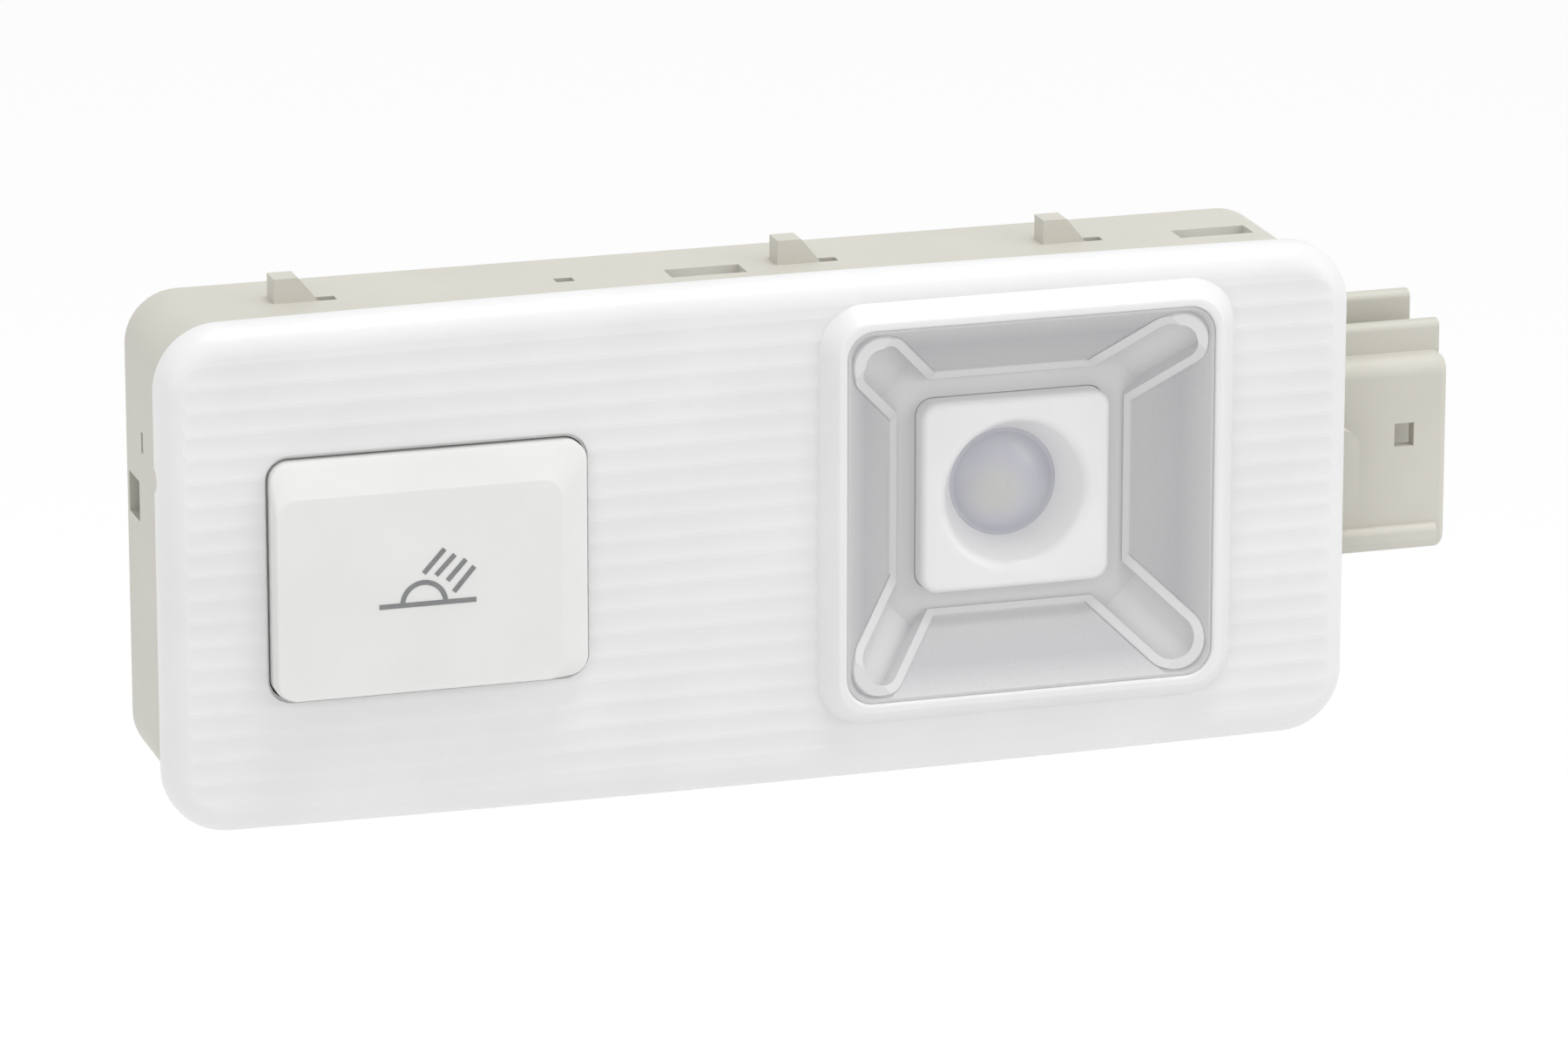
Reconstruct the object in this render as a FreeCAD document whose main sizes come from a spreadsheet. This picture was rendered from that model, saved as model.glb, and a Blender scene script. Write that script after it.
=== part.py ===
"""Car courtesy light with a reading spot: ribbed lens, push key, square reflector and plug socket.

Millimetres. X runs along the lamp, Z up across it and Y back into the roof trim. The lens looks towards -Y,
and y = 0 is the surface of the trim panel that the lamp is set in, at the middle of the lens.
"""
import FreeCAD, Part
import math
import os
import Sketcher

SIZES = {
    # Lens cover
    "face_width": 104.0,
    "face_height": 44.2,
    "face_bow": 0.4,
    "bow_parts": 8,
    "face_corner": 5.5,
    "face_depth": 3.05,
    "face_wall": 1.65,
    "face_roll": 2.3,
    "end_overhang": 1.3,
    "side_overhang": 1.5,
    "rim_step": 0.6,
    "step_clear": 0.2,
    "rim_margin": 0.15,
    "hollow_corner": 3.0,
    "flute_pitch": 2.0,
    "flute_width": 1.7,
    "flute_depth": 0.07,
    # Collar round the reading spot
    "spot_margin": 10.9,
    "spot_z": 1.4,
    "collar_band": 2.1,
    "collar_rise": 1.6,
    "collar_run": 1.4,
    "collar_root": 0.5,
    "collar_corner": 4.0,
    "collar_round": 0.3,
    "mouth_corner": 2.4,
    # Lens tongues that snap into the housing
    "tongue_left_x": -2.2,
    "tongue_right_inset": 7.5,
    "tongue_width": 6.0,
    "tongue_wall": 1.0,
    "tongue_root": 0.5,
    "tongue_length": 9.4,
    "barb_place": 7.2,
    "barb_height": 1.1,
    "snap_clear": 0.15,
    "window_clear": 0.3,
    # Push key and its pivot
    "key_margin": 8.6,
    "key_hole_width": 27.6,
    "key_hole_top": 10.7,
    "key_hole_bottom": -10.6,
    "key_hole_corner": 2.1,
    "key_gap": 0.3,
    "key_gap_above": 0.45,
    "key_gap_below": 0.5,
    "key_edge": 0.7,
    "key_rise": 1.75,
    "key_slope_left": 0.2,
    "key_slope_right": 2.4,
    "key_slope_top": 2.9,
    "key_slope_bottom": 0.1,
    "key_corner": 1.7,
    "key_round": 0.2,
    "key_wall": 1.4,
    "key_cap": 2.2,
    "key_skirt": 3.4,
    "pivot_y": 0.2,
    "pivot_z": 8.7,
    "pivot_radius": 1.0,
    "pivot_clear": 0.05,
    "pivot_reach": 1.75,
    "ear_wall": 1.6,
    "ear_height": 4.0,
    "post_z": -5.0,
    "post_radius": 1.6,
    "post_gap": 0.4,
    # Reflector
    "reflector_clear": 0.03,
    "reflector_set_back": 0.3,
    "reflector_lip": 0.25,
    "reflector_wall": 1.2,
    "seat_sink": 0.3,
    "flange_gap": 0.1,
    "flange_overlap": 1.3,
    "flange_wall": 1.2,
    "floor_y": 1.6,
    "floor_wall": 1.4,
    "throat_y": 1.3,
    "throat_size": 20.3,
    "throat_corner": 1.2,
    "throat_ledge": 0.6,
    "channel_width": 3.9,
    "channel_sink": 1.5,
    "channel_stop": 1.3,
    "ridge_width": 0.8,
    "ridge_rise": 1.5,
    # White pad in the middle of the reflector and its optic
    "pad_front": -0.4,
    "pad_size": 16.8,
    "pad_corner": 1.5,
    "pad_round": 0.6,
    "pad_clear": 0.05,
    "pad_flange": 20.4,
    "pad_flange_wall": 1.2,
    "cone_radius": 6.45,
    "cone_round": 1.2,
    "optic_seat_radius": 4.75,
    "optic_seat_y": 3.4,
    "optic_radius": 5.85,
    "optic_clear": 0.05,
    "optic_face": 1.4,
    "optic_dome_radius": 4.4,
    "optic_dome_rise": 1.2,
    "optic_skirt": 0.6,
    "optic_tip_radius": 2.2,
    "optic_root_radius": 4.7,
    "optic_gap": 0.4,
    "tube_radius": 7.2,
    # Rear housing
    "body_depth": 17.0,
    "body_corner": 4.5,
    "body_wall": 1.5,
    "body_round": 1.2,
    "fin_left_inset": 11.1,
    "fin_middle_x": 4.2,
    "fin_right_inset": 22.8,
    "fin_y": 8.4,
    "fin_length": 2.4,
    "fin_base": 3.8,
    "fin_tip": 2.1,
    "fin_height": 2.1,
    "fin_slot": 1.6,
    "vent_x": -15.2,
    "side_window_y": 11.4,
    "side_window_length": 3.8,
    "side_window_z": 3.6,
    "side_window_height": 3.5,
    "side_slot_y": 9.7,
    "side_slot_length": 0.7,
    "side_slot_z": 9.1,
    "side_slot_height": 1.8,
    "hook_y": 2.2,
    "hook_wall": 2.0,
    "hook_reach": 4.0,
    "hook_height": 7.2,
    "hook_corner": 1.4,
    # Plug socket at the right end
    "socket_reach": 13.6,
    "socket_front": 6.0,
    "socket_back": 15.0,
    "socket_top": 8.5,
    "socket_bottom": -9.0,
    "socket_corner": 1.5,
    "socket_wall": 1.2,
    "socket_round": 0.7,
    "socket_floor_reach": 2.8,
    "socket_foot": 1.0,
    "socket_foot_reach": 2.3,
    "front_rail_y": 8.4,
    "rear_rail_y": 12.2,
    "rail_wall": 1.6,
    "rail_round": 0.6,
    "front_rail_top": 11.1,
    "rear_rail_top": 12.9,
    "rear_rail_set_back": 1.3,
    "ledge_height": 2.6,
    "ledge_rise": 0.8,
    "ledge_set_back": 1.1,
    "catch_set_back": 4.0,
    "catch_z": 1.7,
    "catch_width": 1.8,
    "catch_height": 2.1,
    # Contacts
    "pin_count": 4,
    "pin_pitch": 3.0,
    "pin_width": 0.8,
    "pin_clear": 0.05,
    "pin_y": 9.6,
    "pin_set_back": 5.0,
    "pin_root_inset": 4.7,
    "pin_tail": 0.9,
    # Circuit board and its screws
    "board_y": 11.0,
    "board_wall": 1.6,
    "board_end_gap": 1.7,
    "board_side_gap": 2.1,
    "board_corner": 2.0,
    "screw_end": 6.0,
    "screw_side": 3.0,
    "screw_radius": 1.1,
    "screw_length": 5.0,
    "screw_head_radius": 2.0,
    "screw_head_height": 1.4,
    "screw_slot": 0.6,
    "screw_slot_depth": 0.7,
    "screw_clear": 0.02,
    "board_hole_clear": 0.2,
    "boss_radius": 2.8,
    # Switch
    "switch_width": 6.0,
    "switch_height": 3.5,
    "plunger_radius": 1.7,
    "plunger_clear": 0.05,
    "plunger_rise": 0.9,
    "plunger_depth": 1.6,
    "plunger_room": 1.0,
    "leg_width": 0.7,
    "leg_wall": 0.3,
    "leg_height": 1.6,
    "leg_foot": 1.1,
    "leg_spacing": 4.5,
    # Parts on the board
    "spot_led_width": 5.0,
    "spot_led_base": 0.8,
    "spot_led_dome": 1.7,
    "spot_led_height": 0.7,
    "courtesy_led_width": 3.5,
    "courtesy_led_length": 2.8,
    "courtesy_led_height": 1.4,
    "courtesy_left_shift": 6.4,
    "courtesy_left_side": 2.4,
    "courtesy_middle_x": -5.0,
    "courtesy_middle_z": 3.0,
    "courtesy_right_shift": 3.1,
    "courtesy_right_drop": 4.0,
    "can_x": -6.0,
    "can_side": 6.0,
    "can_radius": 3.15,
    "can_height": 5.4,
    "can_base": 6.6,
    "can_base_wall": 1.0,
    "chip_x": -16.5,
    "chip_side": 4.0,
    "chip_width": 5.0,
    "chip_length": 4.0,
    "chip_height": 1.5,
    "diode_x": 2.5,
    "diode_side": 2.5,
    "diode_width": 4.3,
    "diode_length": 2.6,
    "diode_height": 2.2,
    "resistor_x": -18.0,
    "resistor_side": 4.0,
    "resistor_count": 4,
    "resistor_pitch": 3.2,
    "resistor_width": 1.25,
    "resistor_length": 2.0,
    "resistor_height": 0.55,
}

# Sizes and places that follow from the ones above
DERIVED = {
    "half_width": "face_width / 2 - end_overhang",
    "half_height": "face_height / 2 - side_overhang",
    "inner_half_width": "half_width - body_wall",
    "inner_half_height": "half_height - body_wall",
    "rim_ledge": "snap_clear + tongue_wall + rim_margin",
    "flute_count": "floor((face_height - 2 * face_roll) / flute_pitch)",
    "mouth_size": "2 * (inner_half_height - spot_z - flange_overlap - flange_gap)",
    "collar_size": "mouth_size + 2 * collar_band",
    "spot_x": "face_width / 2 - spot_margin - collar_size / 2",
    "mouth_y": "reflector_set_back - face_depth - collar_rise",
    "funnel_half": "mouth_size / 2 - reflector_clear - reflector_lip",
    "funnel_back_half": "throat_size / 2 + throat_ledge",
    "funnel_slope": "(funnel_half - funnel_back_half) / (throat_y - mouth_y)",
    "channel_tilt": "atan(sqrt(2) * funnel_slope)",
    "channel_inner": "sqrt(2) * funnel_back_half + channel_sink - channel_width / 2",
    "channel_foot": "channel_inner - (floor_y - throat_y) * tan(channel_tilt)",
    "channel_length": "(sqrt(2) * (funnel_half - funnel_back_half) - channel_stop) / sin(channel_tilt)",
    "key_x": "key_margin + key_hole_width / 2 - face_width / 2",
    "tongue_right_x": "half_width - tongue_right_inset",
    "fin_left_x": "fin_left_inset - half_width",
    "fin_right_x": "half_width - fin_right_inset",
    "socket_mouth": "half_width + socket_reach",
    "socket_floor": "half_width + socket_floor_reach",
    "catch_x": "socket_mouth - catch_set_back",
    "pin_tip": "socket_mouth - pin_set_back",
    "pin_root": "half_width - pin_root_inset",
    "board_half_width": "inner_half_width - board_end_gap",
    "board_half_height": "inner_half_height - board_side_gap",
    "screw_x": "board_half_width - screw_end",
    "screw_z": "board_half_height - screw_side",
    "courtesy_left_x": "key_x - courtesy_left_shift",
    "courtesy_left_z": "board_half_height - courtesy_left_side",
    "courtesy_right_x": "screw_x + courtesy_right_shift",
    "courtesy_right_z": "courtesy_right_drop - screw_z",
    "chip_z": "chip_side - board_half_height",
    "diode_z": "diode_side - board_half_height",
    "can_z": "can_side - board_half_height",
    "resistor_z": "board_half_height - resistor_side",
}

FACE_Y = "-Sizes.face_depth"
INNER_Y = "(Sizes.face_wall - Sizes.face_depth)"
SEAT_Y = "(Sizes.face_wall - Sizes.face_depth - Sizes.seat_sink)"
COLLAR_Y = "(-Sizes.face_depth - Sizes.collar_rise)"
KEY_EDGE_Y = "(-Sizes.face_depth - Sizes.key_edge)"
KEY_FACE_Y = "(-Sizes.face_depth - Sizes.key_rise)"
KEY_LEFT = "(Sizes.key_x - Sizes.key_hole_width / 2 + Sizes.key_gap)"
KEY_RIGHT = "(Sizes.key_x + Sizes.key_hole_width / 2 - Sizes.key_gap)"
KEY_TOP = "(Sizes.key_hole_top - Sizes.key_gap_above)"
KEY_BOTTOM = "(Sizes.key_hole_bottom + Sizes.key_gap_below)"
BODY_FLOOR = "(Sizes.body_depth - Sizes.body_wall)"
TONGUE_TOP = "(Sizes.inner_half_height - Sizes.snap_clear)"
FLOOR_BACK = "(Sizes.floor_y + Sizes.floor_wall)"
REFLECTOR_SIZE = "(Sizes.mouth_size - 2 * Sizes.reflector_clear)"
FLANGE_SIZE = "(Sizes.mouth_size + 2 * Sizes.flange_overlap)"
FLANGE_BACK = "(Sizes.face_wall - Sizes.face_depth - Sizes.seat_sink + Sizes.flange_wall)"
BOARD_BACK = "(Sizes.board_y + Sizes.board_wall)"
SWITCH_TOP = "(Sizes.board_y - Sizes.switch_height)"
PLUNGER_TOP = "(Sizes.board_y - Sizes.switch_height - Sizes.plunger_rise)"
PIN_ROW = "(-(Sizes.pin_count - 1) * Sizes.pin_pitch / 2)"

doc = FreeCAD.newDocument("courtesy_light")
sheet = doc.addObject("Spreadsheet::Sheet", "Sizes")
formulas = {alias: f"={formula}" for alias, formula in DERIVED.items()}
for row, (alias, amount) in enumerate({**SIZES, **formulas}.items(), 1):
    sheet.set(f"A{row}", alias)
    sheet.setAlias(f"B{row}", alias)
    sheet.set(f"B{row}", str(amount))
doc.recompute()


def number(expression):
    """The value of an expression on the sheet."""
    return float(sheet.evalExpression(str(expression)))


def body_named(name, x="0", z="0"):
    body = doc.addObject("PartDesign::Body", name)
    body.Label = name
    body.setExpression("Placement.Base.x", x)
    body.setExpression("Placement.Base.z", z)
    return body


def origin_feature(body, role):
    return next(feature for feature in body.Origin.OriginFeatures if feature.Role == role)


def sketch_on(body, name, role, offset):
    """A sketch on one of the body's own planes, moved along that plane's normal."""
    sketch = body.newObject("Sketcher::SketchObject", name)
    sketch.AttachmentSupport = [(origin_feature(body, role), "")]
    sketch.MapMode = "FlatFace"
    sketch.setExpression("AttachmentOffset.Base.z", offset)
    return sketch


def front_sketch(body, name, y):
    """A sketch seen from the front: its axes are X and Z, and its normal points to the viewer, along -Y."""
    return sketch_on(body, name, "XZ_Plane", f"-({y})")


def side_sketch(body, name, x):
    """A sketch seen from the right: its axes are Y and Z, and its normal is +X."""
    return sketch_on(body, name, "YZ_Plane", x)


def channel_sketch(body, name):
    """A sketch on the floor of the upper right channel: X runs out along it, the normal out of the wall."""
    sketch = sketch_on(body, name, "YZ_Plane", "0")
    foot = "vector(Sizes.throat_y; Sizes.channel_inner / sqrt(2); Sizes.channel_inner / sqrt(2))"
    turns = (
        "rotation(vector(1; 0; 0); 45 deg)",
        "rotation(vector(0; 0; 1); 180 deg - Sizes.channel_tilt)",
        "rotation(vector(1; 0; 0); -90 deg)",
    )
    sketch.setExpression("AttachmentOffset.Base.z", None)
    sketch.setExpression("AttachmentOffset", f"placement({foot}; {' * '.join(turns)})")
    return sketch


def diagonal_sketch(body, name, y):
    """A front sketch turned so that its X axis runs out through the upper right corner."""
    sketch = sketch_on(body, name, "XZ_Plane", "0")
    sketch.setExpression("AttachmentOffset.Base.z", None)
    sketch.setExpression("AttachmentOffset", f"placement(vector(0; 0; -({y})); rotation(vector(0; 0; 1); 45 deg))")
    return sketch


def top_sketch(body, name, z):
    """A sketch seen from above: its axes are X and Y, and its normal is +Z."""
    return sketch_on(body, name, "XY_Plane", z)


def bind(sketch, kind, *args):
    """Adds a constraint whose last argument is an expression on the sheet."""
    *places, expression = args
    index = sketch.addConstraint(Sketcher.Constraint(kind, *places, number(expression)))
    sketch.setExpression(f"Constraints[{index}]", str(expression))


def place(sketch, geometry, point, across=None, up=None):
    """Holds a point of the sketch at the given expressions."""
    for kind, axis, expression in (("DistanceX", -2, across), ("DistanceY", -1, up)):
        if expression is None:
            continue
        if str(expression) == "0":
            sketch.addConstraint(Sketcher.Constraint("PointOnObject", geometry, point, axis))
        else:
            bind(sketch, kind, -1, 1, geometry, point, expression)


def polygon(sketch, points):
    corners = [FreeCAD.Vector(number(across), number(up), 0) for across, up in points]
    first = sketch.GeometryCount
    for start, end in zip(corners, corners[1:] + corners[:1]):
        sketch.addGeometry(Part.LineSegment(start, end))
    for index in range(len(points)):
        after = first + (index + 1) % len(points)
        sketch.addConstraint(Sketcher.Constraint("Coincident", first + index, 2, after, 1))
    for index, (across, up) in enumerate(points):
        place(sketch, first + index, 1, across, up)


def closed_by_arc(sketch, points, radius):
    """An outline of straight sides whose last side, back to the first point, bulges to its right as an arc."""
    corners = [FreeCAD.Vector(number(across), number(up), 0) for across, up in points]
    for start, end in zip(corners, corners[1:]):
        sketch.addGeometry(Part.LineSegment(start, end))
    arc = len(points) - 1
    chord = corners[0] - corners[-1]
    bend = number(radius)
    reach = math.sqrt(bend ** 2 - (chord.Length / 2) ** 2)
    left_of_chord = FreeCAD.Vector(-chord.y, chord.x, 0) / chord.Length
    centre = (corners[0] + corners[-1]) / 2 + left_of_chord * reach
    angles = [math.atan2(corner.y - centre.y, corner.x - centre.x) for corner in (corners[-1], corners[0])]
    sketch.addGeometry(Part.ArcOfCircle(Part.Circle(centre, FreeCAD.Vector(0, 0, 1), bend), *angles))
    for index in range(arc):
        sketch.addConstraint(Sketcher.Constraint("Coincident", index, 2, index + 1, 1))
        place(sketch, index, 1, *points[index])
    sketch.addConstraint(Sketcher.Constraint("Coincident", arc, 2, 0, 1))
    place(sketch, arc - 1, 2, *points[arc])
    bind(sketch, "Radius", arc, radius)


def rectangle(sketch, left, right, bottom, top):
    polygon(sketch, [(left, bottom), (right, bottom), (right, top), (left, top)])


def rounded(sketch, left, right, bottom, top, radius):
    """A rectangle with round corners."""
    low_x, high_x, low_y, high_y, bend = (number(size) for size in (left, right, bottom, top, radius))
    lines = [
        ((low_x + bend, low_y), (high_x - bend, low_y)),
        ((high_x, low_y + bend), (high_x, high_y - bend)),
        ((high_x - bend, high_y), (low_x + bend, high_y)),
        ((low_x, high_y - bend), (low_x, low_y + bend)),
    ]
    centres = [
        (high_x - bend, low_y + bend),
        (high_x - bend, high_y - bend),
        (low_x + bend, high_y - bend),
        (low_x + bend, low_y + bend),
    ]
    first = sketch.GeometryCount
    for turn, ((start, end), centre) in enumerate(zip(lines, centres)):
        sketch.addGeometry(Part.LineSegment(FreeCAD.Vector(*start, 0), FreeCAD.Vector(*end, 0)))
        circle_of_corner = Part.Circle(FreeCAD.Vector(*centre, 0), FreeCAD.Vector(0, 0, 1), bend)
        angle = math.radians(90 * (turn - 1))
        sketch.addGeometry(Part.ArcOfCircle(circle_of_corner, angle, angle + math.pi / 2))
    for turn in range(4):
        line = first + 2 * turn
        sketch.addConstraint(Sketcher.Constraint("Tangent", line, 2, line + 1, 1))
        sketch.addConstraint(Sketcher.Constraint("Tangent", line + 1, 2, first + (2 * turn + 2) % 8, 1))
        sketch.addConstraint(Sketcher.Constraint(("Horizontal", "Vertical")[turn % 2], line))
        if turn:
            sketch.addConstraint(Sketcher.Constraint("Equal", first + 1, line + 1))
    bind(sketch, "Radius", first + 1, radius)
    place(sketch, first + 6, 1, across=left)
    place(sketch, first + 2, 1, across=right)
    place(sketch, first, 1, up=bottom)
    place(sketch, first + 4, 1, up=top)


def rounded_square(sketch, across, up, side, radius):
    half = f"({side}) / 2"
    rounded(sketch, f"{across} - {half}", f"{across} + {half}", f"{up} - {half}", f"{up} + {half}", radius)


def circle(sketch, across, up, radius):
    centre = FreeCAD.Vector(number(across), number(up), 0)
    index = sketch.addGeometry(Part.Circle(centre, FreeCAD.Vector(0, 0, 1), number(radius)))
    bind(sketch, "Radius", index, radius)
    place(sketch, index, 3, across, up)


def feature(body, kind, name, profile, length, reverse=False, symmetric=False):
    """A pad or pocket of the given length along its sketch's normal, the other way, or both ways."""
    made = body.newObject(f"PartDesign::{kind}", name)
    made.Profile = profile
    made.setExpression("Length", length)
    made.Reversed = reverse
    if symmetric:
        made.SideType = "Symmetric"
    before = body.BaseFeature if made.BaseFeature is None else made.BaseFeature
    old_volume = before.Shape.Volume if before else 0.0
    doc.recompute()
    if abs(made.Shape.Volume - old_volume) < 1e-6:
        raise RuntimeError(f"{name} changes nothing")
    return made


def pad_front(body, name, profile, length):
    return feature(body, "Pad", name, profile, length)


def pad_back(body, name, profile, length):
    return feature(body, "Pad", name, profile, length, reverse=True)


def cut_front(body, name, profile, length):
    return feature(body, "Pocket", name, profile, length, reverse=True)


def cut_back(body, name, profile, length):
    return feature(body, "Pocket", name, profile, length)


def loft(body, kind, name, sections):
    made = body.newObject(f"PartDesign::{kind}", name)
    made.Profile = sections[0]
    made.Sections = sections[1:]
    made.Ruled = True
    doc.recompute()
    return made


def edges_at(made, place, axis="y"):
    """Names of a feature's edges that lie in the plane at one place along an axis."""
    level = number(place)
    return [
        f"Edge{index}" for index, edge in enumerate(made.Shape.Edges, 1)
        if all(abs(getattr(vertex.Point, axis) - level) < 1e-4 for vertex in edge.Vertexes)
    ]


def ring_at(made, y, radius):
    """The name of a feature's full round edge at depth y with the given radius."""
    return [
        name for name in edges_at(made, y)
        if getattr(made.Shape.getElement(name).Curve, "Radius", 0) > 0
        and abs(made.Shape.getElement(name).Curve.Radius - number(radius)) < 1e-4
    ]


def fillet(body, name, made, edges, radius):
    rounding = body.newObject("PartDesign::Fillet", name)
    rounding.Base = (made, edges)
    rounding.setExpression("Radius", radius)
    doc.recompute()
    return rounding


def turned(body, kind, name, profile):
    """A revolution or groove of a side sketch about the body's Y axis."""
    made = body.newObject(f"PartDesign::{kind}", name)
    made.Profile = profile
    made.ReferenceAxis = (origin_feature(body, "Y_Axis"), [""])
    made.Angle = 360.0
    doc.recompute()
    return made


def set_at(item, x, y, z):
    for axis, expression in zip("xyz", (x, y, z)):
        item.setExpression(f"Placement.Base.{axis}", expression)
    return item


def block(name, left, front, bottom, length, depth, height):
    """A box that runs right, back and up from its given corner."""
    item = doc.addObject("Part::Box", name)
    for side, expression in (("Length", length), ("Width", depth), ("Height", height)):
        item.setExpression(side, expression)
    return set_at(item, left, front, bottom)


def block_on_board(name, x, z, length, height, rise):
    """A box centred at x and z that stands on the front of the board."""
    left = f"{x} - {length} / 2"
    bottom = f"{z} - {height} / 2"
    return block(name, left, f"Sizes.board_y - {rise}", bottom, length, rise, height)


def rod(name, x, front, z, radius, length):
    """A round bar that runs back from its given front end."""
    item = doc.addObject("Part::Cylinder", name)
    item.Placement = FreeCAD.Placement(FreeCAD.Vector(), FreeCAD.Rotation(FreeCAD.Vector(1, 0, 0), -90))
    item.setExpression("Radius", radius)
    item.setExpression("Height", length)
    return set_at(item, x, front, z)


def fused(name, items):
    item = doc.addObject("Part::MultiFuse", name)
    item.Shapes = items
    return item


def cut(name, base, tool):
    item = doc.addObject("Part::Cut", name)
    item.Base = base
    item.Tool = tool
    return item


def group(name, items):
    item = doc.addObject("Part::Compound", name)
    item.Links = items
    return item


def lens_outline(sketch):
    """The lens outline: straight ends, round corners, and long edges that bow gently, each drawn in parts."""
    half_width = number("Sizes.face_width / 2")
    bend = number("Sizes.face_corner")
    bow_radius = "(((Sizes.face_width / 2) ^ 2 + Sizes.face_bow ^ 2) / (2 * Sizes.face_bow))"
    bow_centre = f"(Sizes.face_height / 2 - {bow_radius})"
    long_radius = number(bow_radius)
    middle = number(bow_centre)
    corner_x = half_width - bend
    corner_z = middle + math.sqrt((long_radius - bend) ** 2 - corner_x ** 2)
    tilt = math.atan2(corner_z - middle, corner_x)
    parts = SIZES["bow_parts"]
    split_x = [f"(Sizes.face_width / 2 - Sizes.face_corner) * {1 - 2 * index / parts}" for index in range(1, parts)]
    splits = [tilt, *(math.acos(number(x) / long_radius) for x in split_x), math.pi - tilt]

    def arc(x, z, radius, start, end):
        round_edge = Part.Circle(FreeCAD.Vector(x, z, 0), FreeCAD.Vector(0, 0, 1), radius)
        return sketch.addGeometry(Part.ArcOfCircle(round_edge, start, end))

    def line(start, end):
        return sketch.addGeometry(Part.LineSegment(FreeCAD.Vector(*start, 0), FreeCAD.Vector(*end, 0)))

    upper = [arc(0, middle, long_radius, *pair) for pair in zip(splits, splits[1:])]
    left_high = arc(-corner_x, corner_z, bend, math.pi - tilt, math.pi)
    left = line((-half_width, corner_z), (-half_width, -corner_z))
    left_low = arc(-corner_x, -corner_z, bend, math.pi, math.pi + tilt)
    lower = [arc(0, -middle, long_radius, math.pi + a, math.pi + b) for a, b in zip(splits, splits[1:])]
    right_low = arc(corner_x, -corner_z, bend, -tilt, 0)
    right = line((half_width, -corner_z), (half_width, corner_z))
    right_high = arc(corner_x, corner_z, bend, 0, tilt)

    for row, centre, flip in ((upper, bow_centre, ""), (lower, f"-{bow_centre}", "-")):
        place(sketch, row[0], 3, "0", centre)
        for one, after, x in zip(row, row[1:], split_x):
            sketch.addConstraint(Sketcher.Constraint("Coincident", one, 2, after, 1))
            sketch.addConstraint(Sketcher.Constraint("Coincident", one, 3, after, 3))
            if number(x):
                place(sketch, one, 2, across=f"{flip}{x}")
            else:
                place(sketch, one, 2, across="0")
    bind(sketch, "Radius", upper[0], bow_radius)
    bind(sketch, "Radius", lower[0], bow_radius)
    chain = [upper[-1], left_high, left, left_low, lower[0]], [lower[-1], right_low, right, right_high, upper[0]]
    for side in chain:
        for one, after in zip(side, side[1:]):
            sketch.addConstraint(Sketcher.Constraint("Tangent", one, 2, after, 1))
    for corner in (left_low, right_low, right_high):
        sketch.addConstraint(Sketcher.Constraint("Equal", left_high, corner))
    bind(sketch, "Radius", left_high, "Sizes.face_corner")
    place(sketch, left, 1, across="-Sizes.face_width / 2")
    place(sketch, right, 1, across="Sizes.face_width / 2")


def flutes(body):
    """Shallow hollow flutes along the face, cut one pitch apart so that narrow ribs stay between them."""
    profile = side_sketch(body, "flute_profile", "0")
    row_bottom = "(-(Sizes.flute_count - 1) * Sizes.flute_pitch / 2)"
    low = f"({row_bottom} - Sizes.flute_width / 2)"
    high = f"({row_bottom} + Sizes.flute_width / 2)"
    outside = f"({FACE_Y} - Sizes.flute_pitch / 2)"
    flute_radius = "((Sizes.flute_width ^ 2 / 4 + Sizes.flute_depth ^ 2) / (2 * Sizes.flute_depth))"
    closed_by_arc(profile, [(FACE_Y, high), (outside, high), (outside, low), (FACE_Y, low)], flute_radius)
    flute = feature(body, "Pocket", "flute", profile, "2 * Sizes.face_width", symmetric=True)
    row = body.newObject("PartDesign::LinearPattern", "flute_row")
    row.Originals = [flute]
    row.Direction = (origin_feature(body, "Z_Axis"), [""])
    row.setExpression("Length", "(Sizes.flute_count - 1) * Sizes.flute_pitch")
    row.setExpression("Occurrences", "Sizes.flute_count")
    body.Tip = row
    doc.recompute()


def lens_tongue(body, name, x):
    """One pair of snap tongues, above and below, that reach back inside the housing's long walls."""
    profile = side_sketch(body, f"{name}_profile", x)
    start = "(-Sizes.rim_step - Sizes.tongue_root)"
    root = f"({TONGUE_TOP} - Sizes.tongue_wall)"
    barb = f"({TONGUE_TOP} + Sizes.barb_height)"
    for sign in ("", "-"):
        polygon(profile, [
            (start, f"{sign}{root}"),
            (start, f"{sign}{TONGUE_TOP}"),
            ("Sizes.barb_place", f"{sign}{TONGUE_TOP}"),
            ("Sizes.barb_place", f"{sign}{barb}"),
            ("Sizes.tongue_length", f"{sign}{TONGUE_TOP}"),
            ("Sizes.tongue_length", f"{sign}{root}"),
        ])
    feature(body, "Pad", name, profile, "Sizes.tongue_width", symmetric=True)


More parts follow.
